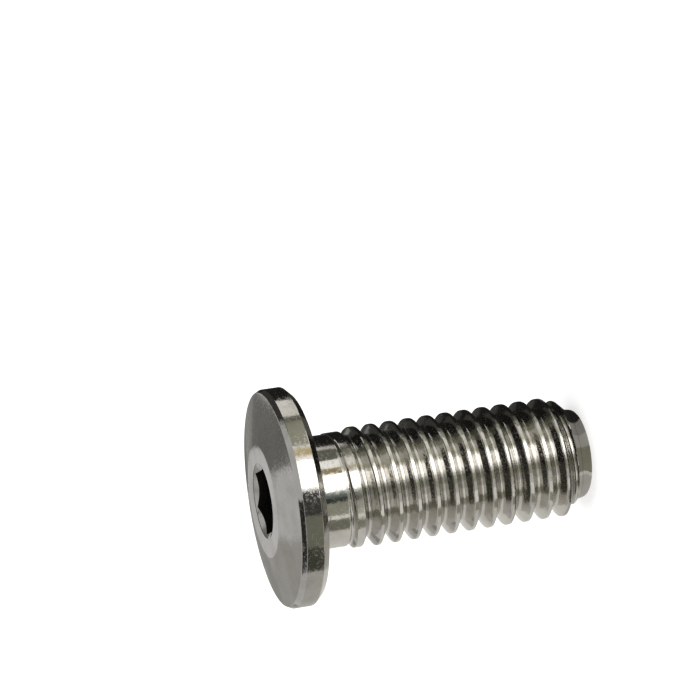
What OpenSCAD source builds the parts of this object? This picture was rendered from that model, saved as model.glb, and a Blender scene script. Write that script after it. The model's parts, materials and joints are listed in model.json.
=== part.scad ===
// Bottle cage bolt: a low, crowned head with a hex socket, a plain neck and an M5 thread, turned from one bar.
// It stands on its tip with its axis along +Z and its head up.
// The origin is the middle of the tip's end, and every length is in millimetres.

/* [Head] */
// Diameter of the head
head_d = 9; // [8:0.1:14]
// Height of the head, from its seat to the flat land round the socket
head_h = 1.6; // [1.4:0.05:4]
// Rise of the conical face, from the rim to the land
crown_h = 0.4; // [0.1:0.05:0.6]
// Width of the flat land round the socket's mouth
land_w = 0.78; // [0.2:0.01:0.9]
// Width of the bevel at the front of the rim
front_bevel_w = 0.1; // [0.05:0.05:0.3]
// Height of the bevel at the front of the rim
front_bevel_h = 0.2; // [0.05:0.05:0.3]
// Bevel at the rear of the rim
rear_bevel = 0.28; // [0.05:0.01:0.4]

/* [Socket] */
// Width of the hex socket across its flats, a little more than its 2.5 mm key
key_af = 2.56; // [2:0.02:3.4]
// Depth of the hex flats below the land
socket_depth = 2; // [1.2:0.1:3]
// How far the round mouth stands outside the hex's corners
mouth_margin = 0.07; // [0.02:0.01:0.15]
// Straight depth of the mouth, before it narrows to the hex
mouth_depth = 0.03; // [0.02:0.01:0.3]
// Angle of the mouth's cone, side to side
mouth_angle = 120; // [90:1:130]
// Angle of the drill's point at the bottom of the socket
drill_angle = 120; // [90:1:140]
// Turn of the hex about the axis
socket_turn = 40; // [0:1:59]

/* [Neck] */
// Length below the head, from its seat to the tip's end
shank_l = 12; // [8:0.5:40]
// Diameter of the plain neck
neck_d = 4.66; // [4.5:0.01:4.9]
// Length of the plain neck, from the head's seat to the thread's shoulder
neck_l = 1.66; // [1:0.01:4]
// Radius of the fillet between the neck and the head's seat
seat_fillet = 0.2; // [0.05:0.05:0.4]

/* [Thread] */
// Diameter over the thread's crests
thread_d = 4.97; // [4.92:0.01:5.2]
// Pitch of the right-hand thread
pitch = 0.8; // [0.5:0.05:1]
// Turns over which the groove runs out below the neck
runout_turns = 0.75; // [0.25:0.05:1.5]
// Angle about the axis at which the groove has run out
runout_turn = 117; // [0:1:359]

/* [Tip] */
// Diameter of the nose where the lead-in cone meets it
nose_d = 3.76; // [3.4:0.02:3.9]
// Diameter of the nose at the tip's end, before its edge is rounded
nose_end_d = 3.62; // [2.6:0.02:3.8]
// Length of the nose
nose_l = 0.46; // [0.4:0.02:1.5]
// Length of the lead-in cone
lead_l = 0.6; // [0.5:0.02:1.5]
// Radius of the round at the tip's edge
tip_round = 0.25; // [0.1:0.05:0.4]

/* [Fineness] */
// Flat steps in each turn of the thread's groove
thread_steps = 40; // [24:2:60]

/* [Hidden] */
metal = [0.63, 0.61, 0.57];
$fn = 96;

// Heights along the axis
seat_z = shank_l;
top_z = seat_z + head_h;
rim_z = top_z - crown_h;
neck_z = seat_z - neck_l;
shoulder_z = neck_z - (thread_d - neck_d) / 2;
lead_z = nose_l + lead_l;

// Hex corners, mouth and land, one outside the other
corner_r = key_af / 2 / cos(30);
mouth_r = corner_r + mouth_margin;
land_r = mouth_r + land_w;

// Metric thread form: 60 degree flanks, with equal flats on the crests and the roots
flank_angle = 30;
thread_r = thread_d / 2;
thread_flat = pitch * 3 / 16;
thread_depth = (pitch / 2 - thread_flat) / tan(flank_angle);
groove_half_w = (pitch - thread_flat) / 2;
root_half_w = thread_flat / 2;

// The groove's cutter stands a little outside the crests, still clear of its own next turn
cutter_over = pitch / 16;
cutter_half_w = groove_half_w + cutter_over * tan(flank_angle);

// The groove starts one pitch below the tip, in the open, and runs out at the shoulder
groove_turns = shoulder_z / pitch + 1;
groove_steps = ceil(groove_turns * thread_steps);

// The tip's round touches the flat end and the tapered nose
nose_taper = atan((nose_d - nose_end_d) / 2 / nose_l);
tip_centre_r = nose_end_d / 2 + tip_round * (tan(nose_taper) - 1 / cos(nose_taper));
tip_tangent = [tip_centre_r + tip_round * cos(nose_taper), tip_round * (1 - sin(nose_taper))];

// Cuts reach this far past the surface that they open
cut_over = pitch / 4;

// Half of the turned blank's section, from the tip's end round to the land
function blank_outline() = [
    [0, 0],
    [tip_centre_r, 0],
    tip_tangent,
    [nose_d / 2, nose_l],
    [thread_r, lead_z],
    [thread_r, shoulder_z],
    [neck_d / 2, neck_z],
    [neck_d / 2, seat_z],
    [head_d / 2 - rear_bevel, seat_z],
    [head_d / 2, seat_z + rear_bevel],
    [head_d / 2, rim_z - front_bevel_h],
    [head_d / 2 - front_bevel_w, rim_z],
    [land_r, top_z],
    [0, top_z]
];

// How far the groove has lifted out of the metal, a number of turns before its end
function runout_lift(turns_left) =
    max(0, 1 - turns_left / runout_turns) * (thread_depth + cutter_over / 2);

// The cutter's section at a lift, as radius and height about the groove's middle
function cutter_section(lift) = [
    [thread_r - thread_depth + lift, -root_half_w],
    [thread_r + cutter_over + lift, -cutter_half_w],
    [thread_r + cutter_over + lift, cutter_half_w],
    [thread_r - thread_depth + lift, root_half_w]
];

// The cutter's four points at one step of the helix, counted back from the groove's end
function cutter_ring(step) =
    let (
        turns_left = step / thread_steps,
        angle = runout_turn - 360 * turns_left,
        z = shoulder_z - pitch * turns_left
    )
    [for (p = cutter_section(runout_lift(turns_left)))
        [p[0] * cos(angle), p[0] * sin(angle), z + p[1]]];

// Helical cutter that leaves the thread's groove
module thread_cutter() {
    sides = len(cutter_section(0));
    points = [for (step = [0:groove_steps]) each cutter_ring(step)];
    walls = [
        for (step = [0:groove_steps - 1], side = [0:sides - 1])
            let (
                a = step * sides + side,
                b = step * sides + (side + 1) % sides
            )
            each [[a, b + sides, b], [a, a + sides, b + sides]]
    ];
    first_end = [for (side = [0:sides - 1]) side];
    last_end = [for (side = [sides - 1:-1:0]) groove_steps * sides + side];
    polyhedron(points, concat(walls, [first_end, last_end]));
}

// Corner between the neck and the seat, filled to a quarter round
module seat_fillet_section() {
    translate([neck_d / 2, seat_z - seat_fillet])
        difference() {
            square(seat_fillet);
            translate([seat_fillet, 0])
                circle(seat_fillet);
        }
}

// Turned blank, before the thread and the socket are cut, with its seam between two steps of the groove
module blank() {
    rotate(runout_turn + 180 / thread_steps)
        rotate_extrude()
            union() {
                polygon(blank_outline());
                translate([tip_centre_r, tip_round])
                    circle(tip_round);
                seat_fillet_section();
            }
}

// Hex socket with a round, narrowing mouth and a drilled bottom
module socket_cut() {
    mouth_cone_h = mouth_r / tan(mouth_angle / 2);
    drill_cone_h = key_af / 2 / tan(drill_angle / 2);
    rotate(socket_turn)
        translate([0, 0, top_z - socket_depth])
            cylinder(h = socket_depth + cut_over, r = corner_r, $fn = 6);
    translate([0, 0, top_z - socket_depth - drill_cone_h])
        cylinder(h = drill_cone_h, r1 = 0, r2 = key_af / 2);
    translate([0, 0, top_z - mouth_depth - mouth_cone_h])
        cylinder(h = mouth_cone_h, r1 = 0, r2 = mouth_r);
    translate([0, 0, top_z - mouth_depth])
        cylinder(h = mouth_depth + cut_over, r = mouth_r);
}

module bolt() {
    color(metal)
        difference() {
            blank();
            socket_cut();
            thread_cutter();
        }
}

bolt();
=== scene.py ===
"""Bottle cage bolt: a turned metal bolt with a cut thread, standing on its tip, and its stage."""

import json
import math

import bmesh
import bpy
from bpy.props import FloatProperty, FloatVectorProperty, PointerProperty
from mathutils import Matrix, Vector


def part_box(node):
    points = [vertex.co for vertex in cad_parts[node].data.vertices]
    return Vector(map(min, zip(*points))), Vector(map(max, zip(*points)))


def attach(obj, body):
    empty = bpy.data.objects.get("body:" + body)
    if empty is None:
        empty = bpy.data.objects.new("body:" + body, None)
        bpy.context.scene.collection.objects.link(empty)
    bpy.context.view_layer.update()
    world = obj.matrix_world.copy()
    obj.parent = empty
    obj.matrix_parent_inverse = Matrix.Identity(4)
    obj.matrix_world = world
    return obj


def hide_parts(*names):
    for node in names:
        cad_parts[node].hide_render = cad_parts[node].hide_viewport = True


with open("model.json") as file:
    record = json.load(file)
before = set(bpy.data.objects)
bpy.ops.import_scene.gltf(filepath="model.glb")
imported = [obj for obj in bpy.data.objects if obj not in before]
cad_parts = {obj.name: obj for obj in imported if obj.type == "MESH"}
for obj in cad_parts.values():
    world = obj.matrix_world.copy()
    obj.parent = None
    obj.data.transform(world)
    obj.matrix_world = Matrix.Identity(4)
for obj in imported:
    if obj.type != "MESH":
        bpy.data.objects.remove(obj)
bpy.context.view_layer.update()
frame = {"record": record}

bl_info = {
    "name": "Bottle cage bolt",
    "version": (1, 0, 0),
    "blender": (4, 5, 0),
    "location": "View3D > Sidebar > Bolt",
    "description": "Makes a low-head bolt with a hex socket and a cut thread, and its stage",
    "category": "Add Mesh",
}

MM = 0.001
BOLT_LOW, BOLT_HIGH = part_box("bolt")
MOUNTS = {mount["name"]: mount for mount in frame["record"]["mounts"]}

# Fineness of the mesh
COLUMNS = 192
STEPS_PER_PITCH = 24
ROUND_STEPS = 5
WELD = 0.001 * MM
SHARP_ANGLE = math.radians(35)

# A round, and the rows that hold it, take at most these shares of the lines beside it
ROUND_SHARE = 0.45
HOLD_SHARE = 0.48
HOLD_PER_ROUND = 1.5

# Metric thread form, with equal flats on the crests and the roots
FLANK_ANGLE = math.radians(30)
FLAT_PER_PITCH = 3 / 16

# The wound strip has turns to spare, which fall flat into its end rings, and its upper ring is on the neck
SPARE_TURNS = 3
RING_PER_PITCH = 1.2

# Small features: a row on the tip's flat end, the mouth's edge, and the drilled bottom inside the hex flats
END_ROW_SHARE = 0.5
MOUTH_EDGE_SHARE = 0.4
DRILL_SHARE = 0.99

# Levels of noise between which patches, marks and pits come in, and what they change
PATCH_LEVELS = (0.35, 0.65)
MARK_LEVELS = (0.4, 0.7)
PIT_LEVELS = (0.52, 0.66)
MARK_DULLNESS = 0.04
SOCKET_LEVELS = (0.3, 0.7)
SOCKET_DULLNESS = (0.4, 0.55)
SOCKET_SHADE = 0.5

# The photograph's frame, and where the middle of the land lies in it
PHOTO_SIZE = 700
LAND_PIXEL = (262.8, 501.2)
PIXELS_PER_METRE = 24630
VIEW_DISTANCE = 0.15
VIEW_ELEVATION = math.radians(14.44)
AXIS_LEAN = math.radians(8.16)
SENSOR_WIDTH = 36
NEAR_CLIP = 0.01

# Reflector cards round the bolt, which show in the metal alone
CARD_STEP = math.radians(4)
WALL = 14
WHITE = (1.0, 0.99, 0.96)
WARM = (1.0, 0.98, 0.93)
GOLD = (1.0, 0.8, 0.42)
MOSS = (0.95, 0.96, 0.76)
TEAL = (0.82, 0.95, 0.92)

# The thread's flanks show a low flag, which lies between the crests' view of the floor and of the wall
GROOVE_BANDS = (
    (-180, -80, WARM, 0.5),
    (-80, -10, MOSS, 0.07),
    (-10, 110, WARM, 0.01),
    (110, 180, WARM, 0.1),
)

# The rim, the neck and the thread share their bands farthest from the camera, on the dark side
DARK_SIDE = (
    (150, 165, WARM, 0.06),
    (165, 180, WARM, 0.16),
)

# Each part's cards: an outline as radius and height in millimetres, then the bands along it, with first and
# last angle from the camera's side, colour and strength
CARDS = {
    "rim": (
        ((WALL, 9.4), (WALL, 12.6)),
        (
            (-180, -165, WARM, 0.3),
            (-165, -72, WARM, 0.5),
            (-72, -46, MOSS, 0.07),
            (-46, -17, MOSS, 0.22),
            (-17, 5, WARM, 0.06),
            (7.5, 31.5, WHITE, 3.0),
            (36, 43.5, GOLD, 0.75),
            (46, 73, MOSS, 0.42),
            (73, 80, MOSS, 0.17),
            (80, 106.5, WARM, 0.95),
            (106.5, 150, WARM, 0.015),
            *DARK_SIDE,
        ),
    ),
    "neck": (
        ((WALL, 7.2), (WALL, 9.4)),
        (
            (-180, -165, WARM, 0.35),
            (-165, -80, WARM, 0.75),
            (-80, -54, MOSS, 0.22),
            (-54, -46, WARM, 1.1),
            (-46, -21, MOSS, 0.38),
            (-21, -12, TEAL, 0.06),
            (-12, -6, TEAL, 0.2),
            (-6, 0, TEAL, 0.45),
            (0, 32, WHITE, 2.6),
            (32, 44, GOLD, 0.4),
            (44, 61, WHITE, 1.4),
            (61, 88, MOSS, 0.17),
            (88, 97, WARM, 0.75),
            (97, 150, WARM, 0.015),
            *DARK_SIDE,
        ),
    ),
    "thread": (
        ((6.2, 0.04), (WALL, 0.04), (WALL, 7.2)),
        (
            (-180, -165, WARM, 0.35),
            (-165, -77, WARM, 0.75),
            (-77, -58, MOSS, 0.36),
            (-58, -36, WARM, 0.95),
            (-36, -20, WARM, 0.6),
            (-20, -4, MOSS, 0.4),
            (-4, 2, WARM, 0.8),
            (2, 8, WHITE, 1.6),
            (8, 33, WHITE, 3.2),
            (33, 39, WHITE, 1.4),
            (39, 50, MOSS, 0.8),
            (50, 67, WARM, 0.95),
            (67, 80, MOSS, 0.42),
            (80, 92, MOSS, 0.14),
            (92, 150, WARM, 0.015),
            *DARK_SIDE,
        ),
    ),
    "groove": (
        ((2.7, 3.0), (12.2, 0.06)),
        GROOVE_BANDS,
    ),
    "tip_groove": (
        ((3.2, 0.04), (6.2, 0.04)),
        GROOVE_BANDS,
    ),
    "nose": (
        ((1.7, 0.03), (3.2, 0.03)),
        (
            (-180, -34, WARM, 0.5),
            (-34, -28, WARM, 0.65),
            (-28, 10, MOSS, 0.26),
            (10, 30, WARM, 0.42),
            (30, 55, WARM, 0.28),
            (55, 150, WARM, 0.02),
            (150, 180, WARM, 0.16),
        ),
    ),
    "over_rim": (
        ((WALL, 12.6), (WALL, 18)),
        ((60, 150, WARM, 0.05),),
    ),
    "front_bevel": (
        ((WALL, 18), (WALL, 23)),
        (
            (-82, -3, WARM, 0.03),
            (80, 150, WARM, 0.05),
        ),
    ),
    "face": (
        ((WALL, 15), (WALL, 45)),
        (
            (-164, -150, WARM, 0.4),
            (157, 172.5, WARM, 0.18),
        ),
    ),
    "far_edge": (
        ((WALL, 12.6), (WALL, 15)),
        (
            (-178, -130, WARM, 0.3),
            (150, 178, WARM, 0.3),
        ),
    ),
}


def size(name, description, default):
    """A length that a user can change."""
    return FloatProperty(
        name=name, description=description, default=default, min=0.0, precision=6, unit="LENGTH"
    )


def turn(name, description, degrees):
    """An angle that a user can change."""
    return FloatProperty(
        name=name, description=description, default=math.radians(degrees), subtype="ANGLE"
    )


def colour(name, description, default):
    """A colour that a user can change."""
    return FloatVectorProperty(
        name=name, description=description, default=default, min=0.0, max=1.0, size=3, subtype="COLOR"
    )


def share(name, description, default):
    """A plain number that a user can change."""
    return FloatProperty(name=name, description=description, default=default, min=0.0)


class BoltSizes(bpy.types.PropertyGroup):
    """Sizes of the bolt."""

    length: size("Length", "From the tip's end to the land round the socket", BOLT_HIGH.z)
    seat_height: size("Seat height", "From the tip's end to the head's seat", MOUNTS["seat"]["pos_m"][2])
    head_diameter: size("Head", "Diameter of the head", round(BOLT_HIGH.x - BOLT_LOW.x, 4))
    crown_height: size("Crown", "Rise of the conical face, from the rim to the land", 0.4 * MM)
    land_width: size("Land", "Width of the flat land round the socket's mouth", 0.78 * MM)
    front_bevel_width: size("Front bevel width", "Width of the bevel at the front of the rim", 0.1 * MM)
    front_bevel_height: size("Front bevel height", "Height of the bevel at the front of the rim", 0.2 * MM)
    rear_bevel: size("Rear bevel", "Bevel at the rear of the rim", 0.28 * MM)
    edge_round: size("Edge round", "Radius to which the turned edges are broken", 0.05 * MM)
    key_size: size("Hex key", "Width of the socket, across flats", 2.56 * MM)
    socket_depth: size("Socket depth", "Depth of the hex flats below the land", 2 * MM)
    mouth_margin: size("Mouth margin", "How far the round mouth stands outside the corners", 0.07 * MM)
    mouth_depth: size("Mouth depth", "Straight depth of the mouth", 0.03 * MM)
    mouth_angle: turn("Mouth angle", "Angle of the mouth's cone, side to side", 120)
    drill_angle: turn("Drill angle", "Angle of the drilled bottom, side to side", 120)
    socket_turn: turn("Socket turn", "Turn of the hex about the axis", 40)
    neck_radius: size("Neck radius", "Radius of the plain neck", MOUNTS["neck"]["dims"]["r_mm"] * MM)
    neck_length: size("Neck length", "From the head's seat to the thread's shoulder", 1.66 * MM)
    seat_fillet: size("Seat fillet", "Radius between the neck and the seat", 0.2 * MM)
    thread_diameter: size("Thread", "Diameter over the crests", 4.97 * MM)
    pitch: size("Pitch", "Pitch of the right-hand thread", 0.8 * MM)
    crest_round: size("Crest round", "How far the crests' edges are blended", 0.05 * MM)
    root_round: size("Root round", "How far the groove's root is blended", 0.05 * MM)
    runout_turns: share("Run-out turns", "Turns over which the groove and its ridge fade into the neck", 1.1)
    runout_turn: turn("Run-out turn", "Angle about the axis at which the groove meets the shoulder", 117)
    overrun_turns: share("Overrun turns", "Turns by which the groove's fading end passes the shoulder", 0.48)
    nose_diameter: size("Nose", "Diameter of the nose where the lead-in cone meets it", 3.76 * MM)
    nose_end_diameter: size("Nose end", "Diameter of the nose at the tip's end", 3.62 * MM)
    nose_length: size("Nose length", "Length of the nose", 0.46 * MM)
    lead_length: size("Lead-in", "Length of the lead-in cone", 0.6 * MM)
    tip_round: size("Tip round", "Radius of the round at the tip's edge", 0.25 * MM)


class BoltFinish(bpy.types.PropertyGroup):
    """Colours and surface marks of the metal."""

    metal_light: colour("Light metal", "Colour of the polished metal", (0.60, 0.585, 0.555))
    metal_dark: colour("Dark metal", "Colour of the duller patches", (0.50, 0.485, 0.45))
    # The socket's colour is painted shade: near black, standing for the shade deep in the hex recess
    socket_shade_colour: colour("Socket", "Colour of the darkened socket walls", (0.05, 0.047, 0.042))
    polish: share("Polish", "Roughness of the brightest patches", 0.06)
    dullness: share("Dullness", "Roughness of the dullest patches", 0.13)
    pit_dullness: share("Pit dullness", "Roughness that fine pits add", 0.15)
    mark_width: size("Mark width", "Width of a turning mark", 0.03 * MM)
    mark_run: size("Mark run", "Length over which a turning mark fades", 1.5 * MM)
    mark_depth: size("Mark depth", "Depth of a turning mark", 0.0004 * MM)
    grain_size: size("Grain size", "Size of the fine grain", 0.12 * MM)
    grain_depth: size("Grain depth", "Depth of the fine grain", 0.0025 * MM)
    patch_size: size("Patch size", "Size of the duller patches", 0.9 * MM)


class StageLook(bpy.types.PropertyGroup):
    """Floor and light of the stage."""

    floor_colour: colour("Floor", "Colour of the pale floor", (0.75, 0.75, 0.75))
    floor_width: size("Floor width", "Side of the floor", 4.0)
    sky_strength: share("Sky", "Strength of the soft light all round", 0.6)
    lamp_power: share("Lamp", "Power of the soft overhead lamp, in watts", 1.5)
    lamp_width: size("Lamp width", "Side of the soft overhead lamp", 0.5)
    lamp_height: size("Lamp height", "Height of the soft overhead lamp", 0.6)
    floor_lift: share("Floor lift", "Glow that takes the lit floor to white", 0.6)


class NodeMaker:
    """Adds nodes to a tree, and links or sets what feeds them."""

    def __init__(self, tree):
        self.tree = tree

    def feed(self, socket, value):
        if isinstance(value, bpy.types.NodeSocket):
            self.tree.links.new(value, socket)
        else:
            socket.default_value = value

    def add(self, kind, feeds=None, **settings):
        node = self.tree.nodes.new(kind)
        for name, value in settings.items():
            setattr(node, name, value)
        for name, value in (feeds or {}).items():
            self.feed(node.inputs[name], value)
        return node

    def maths(self, operation, *values):
        feeds = dict(enumerate(values))
        return self.add("ShaderNodeMath", feeds, operation=operation).outputs[0]

    def noise(self, vector, scale, detail):
        feeds = {"Vector": vector, "Scale": scale, "Detail": detail}
        return self.add("ShaderNodeTexNoise", feeds).outputs["Fac"]

    def ramp(self, factor, low, high, low_colour, high_colour):
        node = self.add("ShaderNodeValToRGB", {"Fac": factor})
        ends = node.color_ramp.elements
        ends[0].position = low
        ends[0].color = (*low_colour, 1)
        ends[1].position = high
        ends[1].color = (*high_colour, 1)
        return node.outputs["Color"]

    def spread(self, value, low, high, to_low, to_high):
        feeds = {"Value": value, "From Min": low, "From Max": high, "To Min": to_low, "To Max": to_high}
        return self.add("ShaderNodeMapRange", feeds).outputs["Result"]


def new_material(name):
    """An empty node material and the maker of its nodes."""
    material = bpy.data.materials.new(name)
    material.use_nodes = True
    material.node_tree.nodes.clear()
    return material, NodeMaker(material.node_tree)


def turned_surface(make, finish):
    """Noise of the turning marks, the grain and the duller patches, and the normal that they give."""
    place = make.add("ShaderNodeTexCoord").outputs["Object"]
    x, y, z = make.add("ShaderNodeSeparateXYZ", {"Vector": place}).outputs
    radius = make.maths("SQRT", make.maths("ADD", make.maths("POWER", x, 2), make.maths("POWER", y, 2)))
    along = make.maths("DIVIDE", make.maths("ADD", radius, z), finish.mark_width)
    mark_place = {
        "X": along,
        "Y": make.maths("DIVIDE", x, finish.mark_run),
        "Z": make.maths("DIVIDE", y, finish.mark_run),
    }
    marks = make.noise(make.add("ShaderNodeCombineXYZ", mark_place).outputs[0], 1, 3)
    grain = make.noise(place, 1 / finish.grain_size, 3)
    patches = make.noise(place, 1 / finish.patch_size, 4)
    marked = make.add("ShaderNodeBump", {"Height": marks, "Strength": 1, "Distance": finish.mark_depth})
    grained = {"Height": grain, "Strength": 1, "Distance": finish.grain_depth, "Normal": marked.outputs[0]}
    normal = make.add("ShaderNodeBump", grained).outputs[0]
    return marks, grain, patches, normal


def polished_metal(finish):
    """Warm grey metal, turned and polished, with fine marks round the axis and duller patches."""
    material, make = new_material("polished_metal")
    marks, grain, patches, normal = turned_surface(make, finish)
    rough = make.spread(patches, *PATCH_LEVELS, finish.polish, finish.dullness)
    rough = make.maths("ADD", rough, make.spread(marks, *MARK_LEVELS, 0, MARK_DULLNESS))
    rough = make.maths("ADD", rough, make.spread(grain, *PIT_LEVELS, 0, finish.pit_dullness))
    feeds = {
        "Base Color": make.ramp(patches, *PATCH_LEVELS, finish.metal_light, finish.metal_dark),
        "Metallic": 1,
        "Roughness": rough,
        "Normal": normal,
    }
    shader = make.add("ShaderNodeBsdfPrincipled", feeds)
    make.add("ShaderNodeOutputMaterial", {"Surface": shader.outputs[0]})
    return material


def shaded_socket_metal(finish):
    """Dull metal of the broached socket walls, whose near-black colour is painted shade in the deep recess
    of the socket.
    """
    material, make = new_material("shaded_socket_metal")
    marks, _, patches, normal = turned_surface(make, finish)
    dark = tuple(SOCKET_SHADE * level for level in finish.socket_shade_colour)
    feeds = {
        "Base Color": make.ramp(patches, *SOCKET_LEVELS, finish.socket_shade_colour, dark),
        "Metallic": 1,
        "Roughness": make.spread(marks, *SOCKET_LEVELS, *SOCKET_DULLNESS),
        "Normal": normal,
    }
    shader = make.add("ShaderNodeBsdfPrincipled", feeds)
    make.add("ShaderNodeOutputMaterial", {"Surface": shader.outputs[0]})
    return material


def thread_inputs(sizes):
    """The thread tree's inputs by name, worked out from the bolt's sizes."""
    flat = FLAT_PER_PITCH * sizes.pitch
    depth = (sizes.pitch / 2 - flat) / math.tan(FLANK_ANGLE)
    crest_radius = sizes.thread_diameter / 2
    neck_height = sizes.seat_height - sizes.neck_length
    shoulder_height = neck_height - (crest_radius - sizes.neck_radius)
    end_height = shoulder_height + sizes.overrun_turns * sizes.pitch
    ring_height = end_height + RING_PER_PITCH * sizes.pitch
    turns = math.ceil((ring_height - sizes.nose_length) / sizes.pitch) + SPARE_TURNS
    end_angle = sizes.runout_turn / math.tau + sizes.overrun_turns
    end_turn = turns - SPARE_TURNS + (end_angle - sizes.socket_turn / math.tau) % 1
    lead_rise = crest_radius - sizes.nose_diameter / 2
    return {
        "Turns": float(turns),
        "Steps Along": turns * COLUMNS + 1,
        "Steps Across": STEPS_PER_PITCH + 1,
        "Start Angle": sizes.socket_turn,
        "End Turn": end_turn,
        "End Height": end_height,
        "Pitch": sizes.pitch,
        "Run-out Turns": sizes.runout_turns,
        "Full Lift": sizes.neck_radius - crest_radius + depth,
        "Root Half Width": flat / 2,
        "Root Radius": crest_radius - depth,
        "Root Round": sizes.root_round,
        "Crest Rise": crest_radius - sizes.neck_radius,
        "Crest Round": sizes.crest_round,
        "Nose Height": sizes.nose_length,
        "Nose Radius": sizes.nose_diameter / 2,
        "Lead Slope": lead_rise / sizes.lead_length,
        "Neck Height": ring_height,
        "Neck Radius": sizes.neck_radius,
        "Edge Round": sizes.edge_round,
    }


def thread_tree(inputs, metal):
    """A strip one pitch wide, wound up the shank, with its radius set by the groove, lead-in and run-out."""
    tree = bpy.data.node_groups.new("cut_thread", "GeometryNodeTree")
    for name, value in inputs.items():
        kind = "NodeSocketInt" if isinstance(value, int) else "NodeSocketFloat"
        tree.interface.new_socket(name, in_out="INPUT", socket_type=kind)
    tree.interface.new_socket("Geometry", in_out="OUTPUT", socket_type="NodeSocketGeometry")
    make = NodeMaker(tree)
    maths = make.maths
    given = make.add("NodeGroupInput").outputs
    strip = {
        "Size X": given["Turns"],
        "Size Y": 1.0,
        "Vertices X": given["Steps Along"],
        "Vertices Y": given["Steps Across"],
    }
    grid = make.add("GeometryNodeMeshGrid", strip).outputs["Mesh"]
    spot = make.add("GeometryNodeInputPosition").outputs[0]
    along, across, _ = make.add("ShaderNodeSeparateXYZ", {"Vector": spot}).outputs
    turns = maths("MULTIPLY_ADD", given["Turns"], 0.5, along)
    turns_left = maths("SUBTRACT", given["End Turn"], turns)
    angle = maths("MULTIPLY_ADD", turns, math.tau, given["Start Angle"])
    wound = maths("MULTIPLY_ADD", maths("SUBTRACT", across, turns_left), given["Pitch"], given["End Height"])
    height = maths("MINIMUM", maths("MAXIMUM", wound, given["Nose Height"]), given["Neck Height"])
    run_out = maths("MAXIMUM", maths("SUBTRACT", 1, maths("DIVIDE", turns_left, given["Run-out Turns"])), 0)
    to_ridge = maths("MULTIPLY_ADD", maths("SIGN", across), -0.5, turns_left)
    rise = make.spread(to_ridge, 0, given["Run-out Turns"], 0, 1)
    crest = maths("MULTIPLY_ADD", rise, given["Crest Rise"], given["Neck Radius"])
    from_middle = maths("MULTIPLY", maths("ABSOLUTE", across), given["Pitch"])
    past_root = maths("SUBTRACT", from_middle, given["Root Half Width"])
    flank = maths("SMOOTH_MAX", past_root, 0, given["Root Round"])
    groove = maths("MULTIPLY_ADD", flank, 1 / math.tan(FLANK_ANGLE), given["Root Radius"])
    groove = maths("MULTIPLY_ADD", run_out, given["Full Lift"], groove)
    above_nose = maths("SUBTRACT", height, given["Nose Height"])
    lead_in = maths("MULTIPLY_ADD", above_nose, given["Lead Slope"], given["Nose Radius"])
    blank = maths("SMOOTH_MIN", lead_in, crest, given["Edge Round"])
    radius = maths("SMOOTH_MIN", blank, groove, given["Crest Round"])
    wrapped = {
        "X": maths("MULTIPLY", radius, maths("COSINE", angle)),
        "Y": maths("MULTIPLY", radius, maths("SINE", angle)),
        "Z": height,
    }
    placed = {"Geometry": grid, "Position": make.add("ShaderNodeCombineXYZ", wrapped).outputs[0]}
    shape = make.add("GeometryNodeSetPosition", placed).outputs[0]
    welded = {"Geometry": shape, "Distance": WELD}
    shape = make.add("GeometryNodeMergeByDistance", welded).outputs[0]
    shape = make.add("GeometryNodeRealizeInstances", {"Geometry": shape}).outputs[0]
    shape = make.add("GeometryNodeSetMaterial", {"Geometry": shape, "Material": metal}).outputs[0]
    make.add("NodeGroupOutput", {"Geometry": shape})
    return tree


def thread_mesh(inputs, metal):
    """The thread as a plain mesh, open at its nose and neck rings."""
    tree = thread_tree(inputs, metal)
    holder = bpy.data.objects.new("thread_holder", bpy.data.meshes.new("thread_holder"))
    bpy.context.scene.collection.objects.link(holder)
    modifier = holder.modifiers.new("cut_thread", "NODES")
    modifier.node_group = tree
    for socket in tree.interface.items_tree:
        if socket.in_out == "INPUT":
            modifier[socket.identifier] = inputs[socket.name]
    ready = holder.evaluated_get(bpy.context.evaluated_depsgraph_get())
    mesh = bpy.data.meshes.new_from_object(ready)
    bpy.data.objects.remove(holder)
    return mesh


def softened(corners):
    """An outline through corners of radius, height and round, with a row close to each end of a round."""
    outline = [corners[0][:2]]
    for before, corner, after in zip(corners, corners[1:], corners[2:]):
        middle = Vector(corner[:2])
        back = Vector(before[:2]) - middle
        ahead = Vector(after[:2]) - middle
        half = back.angle(ahead) / 2
        shorter = min(back.length, ahead.length)
        reach = min(corner[2] / math.tan(half), ROUND_SHARE * shorter)
        hold = min(HOLD_PER_ROUND * reach, HOLD_SHARE * shorter)
        back.normalize()
        ahead.normalize()
        centre = middle + (back + ahead).normalized() * reach / math.cos(half)
        first = middle + back * reach - centre
        swing = first.angle_signed(middle + ahead * reach - centre)
        outline.append((middle + back * hold)[:])
        for step in range(ROUND_STEPS + 1):
            spoke = first.copy()
            spoke.rotate(Matrix.Rotation(-swing * step / ROUND_STEPS, 2))
            outline.append((centre + spoke)[:])
        outline.append((middle + ahead * hold)[:])
    outline.append(corners[-1][:2])
    return outline


def ring(sizes, radius_and_height):
    """One row of points round the axis, from a function of the angle past a hex corner."""
    points = []
    for column in range(COLUMNS):
        past = math.tau * column / COLUMNS
        radius, height = radius_and_height(past)
        angle = sizes.socket_turn + past
        points.append(Vector((radius * math.cos(angle), radius * math.sin(angle), height)))
    return points


def lathe(mesh, rows, material_index):
    """Joins rows of points with faces; a row of one point is a pole."""
    below = None
    for row in rows:
        above = [mesh.verts.new(point) for point in row]
        for column in range(COLUMNS if below else 0):
            following = (column + 1) % COLUMNS
            corners = [below[column % len(below)], below[following % len(below)]]
            corners += [above[following % len(above)], above[column % len(above)]]
            face = mesh.faces.new(list(dict.fromkeys(corners)))
            face.material_index = material_index
        below = above


def plain_rows(sizes, outline):
    """Round rows through an outline."""
    return [ring(sizes, lambda past, spot=spot: spot) for spot in outline]


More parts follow.
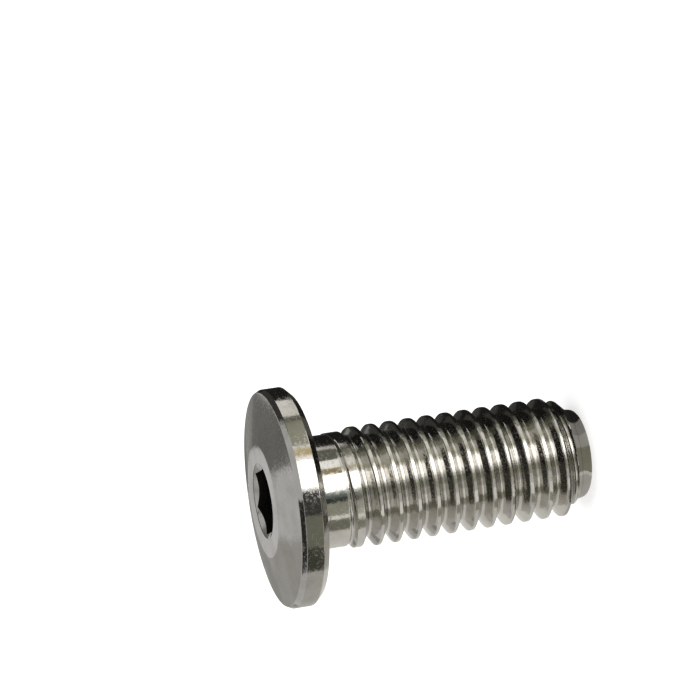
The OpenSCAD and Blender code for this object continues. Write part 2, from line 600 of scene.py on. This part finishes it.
def tip_rows(sizes):
    """Rows from the middle of the tip's end to the ring where the lead-in cone starts."""
    end = sizes.nose_end_diameter / 2
    corners = (
        (END_ROW_SHARE * end, 0, 0),
        (end, 0, sizes.tip_round),
        (sizes.nose_diameter / 2, sizes.nose_length, 0),
    )
    return [[Vector()]] + plain_rows(sizes, softened(corners))


def hex_radius(sizes, past):
    """Distance of the hex's wall from the axis, at an angle past one of its corners."""
    sixth = math.tau / 6
    return sizes.key_size / 2 / math.cos(past % sixth - sixth / 2)


def mouth_radius(sizes):
    """Radius of the socket's round mouth."""
    return sizes.key_size / 2 / math.cos(math.tau / 12) + sizes.mouth_margin


def head_rows(sizes, ring_height):
    """Rows from the ring where the thread ends, round the head, to the foot of the mouth's straight wall."""
    head = sizes.head_diameter / 2
    seat = sizes.seat_height
    top = sizes.length
    rim = top - sizes.crown_height
    mouth = mouth_radius(sizes)
    edge = sizes.edge_round
    corners = (
        (sizes.neck_radius, ring_height, 0),
        (sizes.neck_radius, seat, sizes.seat_fillet),
        (head - sizes.rear_bevel, seat, edge),
        (head, seat + sizes.rear_bevel, edge),
        (head, rim - sizes.front_bevel_height, edge),
        (head - sizes.front_bevel_width, rim, edge),
        (mouth + sizes.land_width, top, edge),
        (mouth, top, MOUTH_EDGE_SHARE * edge),
        (mouth, top - sizes.mouth_depth, 0),
    )
    return plain_rows(sizes, softened(corners))


def socket_rows(sizes):
    """Rows from the foot of the mouth's wall to the hex's edge, and from there to the drilled bottom."""
    mouth = mouth_radius(sizes)
    mouth_foot = sizes.length - sizes.mouth_depth
    floor = sizes.length - sizes.socket_depth
    drill = DRILL_SHARE * sizes.key_size / 2
    mouth_slope = math.tan(sizes.mouth_angle / 2)

    def hex_edge(past):
        radius = hex_radius(sizes, past)
        return radius, mouth_foot - (mouth - radius) / mouth_slope

    def hex_foot(past):
        return hex_radius(sizes, past), floor

    mouth_rows = [ring(sizes, lambda past: (mouth, mouth_foot)), ring(sizes, hex_edge)]
    wall_rows = [
        ring(sizes, hex_edge),
        ring(sizes, hex_foot),
        ring(sizes, lambda past: (drill, floor)),
        [Vector((0, 0, floor - drill / math.tan(sizes.drill_angle / 2)))],
    ]
    return mouth_rows, wall_rows


class BOLT_OT_bolt(bpy.types.Operator):
    """Makes the bolt: its thread, turned head and neck, hex socket and tip, as one closed piece"""

    bl_idname = "bolt.bolt"
    bl_label = "Bolt"

    def execute(self, context):
        sizes = context.scene.bolt_sizes
        finish = context.scene.bolt_finish
        metal = polished_metal(finish)
        inputs = thread_inputs(sizes)
        thread = thread_mesh(inputs, metal)
        mouth_rows, wall_rows = socket_rows(sizes)
        shape = bmesh.new()
        shape.from_mesh(thread)
        for face in shape.faces:
            face.material_index = 0
        lathe(shape, tip_rows(sizes), 0)
        lathe(shape, head_rows(sizes, inputs["Neck Height"]), 0)
        lathe(shape, mouth_rows, 0)
        # The hex walls and the drilled bottom take the second material, whose near-black colour is painted
        # shade in the socket
        lathe(shape, wall_rows, 1)
        bmesh.ops.remove_doubles(shape, verts=shape.verts, dist=2 * WELD)
        bmesh.ops.recalc_face_normals(shape, faces=shape.faces)
        open_edges = sum(1 for edge in shape.edges if len(edge.link_faces) != 2)
        if open_edges:
            raise RuntimeError(f"the bolt has {open_edges} open edges")
        mesh = bpy.data.meshes.new("bolt_body")
        shape.to_mesh(mesh)
        shape.free()
        bpy.data.meshes.remove(thread)
        mesh.materials.append(metal)
        mesh.materials.append(shaded_socket_metal(finish))
        mesh.shade_smooth()
        mesh.set_sharp_from_angle(angle=SHARP_ANGLE)
        piece = bpy.data.objects.new("bolt_body", mesh)
        context.scene.collection.objects.link(piece)
        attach(piece, "root")
        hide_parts("bolt")
        return {"FINISHED"}


def pale_floor(look):
    """A pale floor that keeps shadows, with a glow for the camera and the metal that takes it to white."""
    material, make = new_material("pale_floor")
    path = make.add("ShaderNodeLightPath").outputs
    seen = make.maths("MAXIMUM", path["Is Camera Ray"], path["Is Glossy Ray"])
    seen = make.maths("MAXIMUM", seen, path["Is Transmission Ray"])
    glow = make.maths("MULTIPLY", seen, look.floor_lift)
    matt = make.add("ShaderNodeBsdfDiffuse", {"Color": (*look.floor_colour, 1)})
    lift = make.add("ShaderNodeEmission", {"Strength": glow})
    both = make.add("ShaderNodeAddShader", {0: matt.outputs[0], 1: lift.outputs[0]})
    make.add("ShaderNodeOutputMaterial", {"Surface": both.outputs[0]})
    return material


def stage_object(name, points, faces, material):
    """A mesh of the stage."""
    mesh = bpy.data.meshes.new(name)
    mesh.from_pydata(points, [], faces)
    mesh.materials.append(material)
    piece = bpy.data.objects.new(name, mesh)
    bpy.context.scene.collection.objects.link(piece)
    return piece


def make_floor(look):
    """The plain floor on which the bolt stands."""
    half = look.floor_width / 2
    corners = [(-half, -half, 0), (half, -half, 0), (half, half, 0), (-half, half, 0)]
    stage_object("floor", corners, [(0, 1, 2, 3)], pale_floor(look))


def make_card(name, outline, start, end, tint, strength):
    """A curved card that shows in the metal alone, and only on the side that faces the bolt."""
    material, make = new_material(name)
    glow = make.add("ShaderNodeEmission", {"Color": (*tint, 1), "Strength": strength})
    clear = make.add("ShaderNodeBsdfTransparent")
    behind = make.add("ShaderNodeNewGeometry").outputs["Backfacing"]
    sides = make.add("ShaderNodeMixShader", {0: behind, 1: glow.outputs[0], 2: clear.outputs[0]})
    make.add("ShaderNodeOutputMaterial", {"Surface": sides.outputs[0]})
    start, end = math.radians(start), math.radians(end)
    steps = max(1, round((end - start) / CARD_STEP))
    rows = len(outline)
    points = []
    for step in range(steps + 1):
        angle = start + (end - start) * step / steps
        for radius, height in outline:
            points.append((radius * MM * math.sin(angle), -radius * MM * math.cos(angle), height * MM))
    faces = []
    for corner in range(steps * rows):
        if (corner + 1) % rows:
            faces.append((corner, corner + 1, corner + rows + 1, corner + rows))
    card = stage_object(name, points, faces, material)
    card.visible_camera = False
    card.visible_diffuse = False
    card.visible_shadow = False
    card.visible_transmission = False


def make_lights(look):
    """A soft lamp overhead that the metal doesn't mirror, and an even sky."""
    lamp = bpy.data.lights.new("soft_lamp", "AREA")
    lamp.size = look.lamp_width
    lamp.energy = look.lamp_power
    holder = bpy.data.objects.new("soft_lamp", lamp)
    holder.location = (0, 0, look.lamp_height)
    holder.visible_glossy = False
    bpy.context.scene.collection.objects.link(holder)
    world = bpy.data.worlds.new("soft_sky")
    world.use_nodes = True
    sky = world.node_tree.nodes["Background"]
    sky.inputs["Color"].default_value = (1, 1, 1, 1)
    sky.inputs["Strength"].default_value = look.sky_strength
    bpy.context.scene.world = world


def make_camera():
    """The camera, low over the head and rolled, so that the bolt lies on its side in the picture."""
    ahead = Vector((0, math.cos(VIEW_ELEVATION), -math.sin(VIEW_ELEVATION)))
    level = Vector((1, 0, 0))
    rise = level.cross(ahead)
    right = -math.sin(AXIS_LEAN) * level - math.cos(AXIS_LEAN) * rise
    up = right.cross(ahead)
    land = Vector((0, 0, BOLT_HIGH.z))
    across, down = ((pixel - PHOTO_SIZE / 2) / PIXELS_PER_METRE for pixel in LAND_PIXEL)
    place = land - right * across + up * down - ahead * VIEW_DISTANCE
    lens = bpy.data.cameras.new("camera")
    lens.sensor_width = SENSOR_WIDTH
    lens.lens = SENSOR_WIDTH * PIXELS_PER_METRE * VIEW_DISTANCE / PHOTO_SIZE
    lens.clip_start = NEAR_CLIP
    camera = bpy.data.objects.new("camera", lens)
    camera.matrix_world = Matrix.Translation(place) @ Matrix((right, up, -ahead)).transposed().to_4x4()
    bpy.context.scene.collection.objects.link(camera)
    bpy.context.scene.camera = camera


class BOLT_OT_stage(bpy.types.Operator):
    """Makes the floor, the soft light, the reflector cards and the camera"""

    bl_idname = "bolt.stage"
    bl_label = "Stage"

    def execute(self, context):
        look = context.scene.stage_look
        make_floor(look)
        for part, (outline, bands) in CARDS.items():
            for band in bands:
                make_card(f"{part}_card", outline, *band)
        make_lights(look)
        make_camera()
        context.scene.view_settings.view_transform = "Standard"
        return {"FINISHED"}


class BOLT_PT_panel(bpy.types.Panel):
    """Sizes, finish and stage of the bolt"""

    bl_idname = "BOLT_PT_panel"
    bl_label = "Bottle cage bolt"
    bl_space_type = "VIEW_3D"
    bl_region_type = "UI"
    bl_category = "Bolt"

    def draw(self, context):
        for operator, group in (
            (BOLT_OT_bolt, context.scene.bolt_sizes),
            (None, context.scene.bolt_finish),
            (BOLT_OT_stage, context.scene.stage_look),
        ):
            for name in group.bl_rna.properties.keys():
                if name not in ("rna_type", "name"):
                    self.layout.prop(group, name)
            if operator:
                self.layout.operator(operator.bl_idname)


CLASSES = (BoltSizes, BoltFinish, StageLook, BOLT_OT_bolt, BOLT_OT_stage, BOLT_PT_panel)


def register():
    for item in CLASSES:
        bpy.utils.register_class(item)
    bpy.types.Scene.bolt_sizes = PointerProperty(type=BoltSizes)
    bpy.types.Scene.bolt_finish = PointerProperty(type=BoltFinish)
    bpy.types.Scene.stage_look = PointerProperty(type=StageLook)


def unregister():
    del bpy.types.Scene.stage_look
    del bpy.types.Scene.bolt_finish
    del bpy.types.Scene.bolt_sizes
    for item in reversed(CLASSES):
        bpy.utils.unregister_class(item)


def main():
    register()
    bpy.ops.bolt.bolt()
    bpy.ops.bolt.stage()


if __name__ == "__main__":
    main()
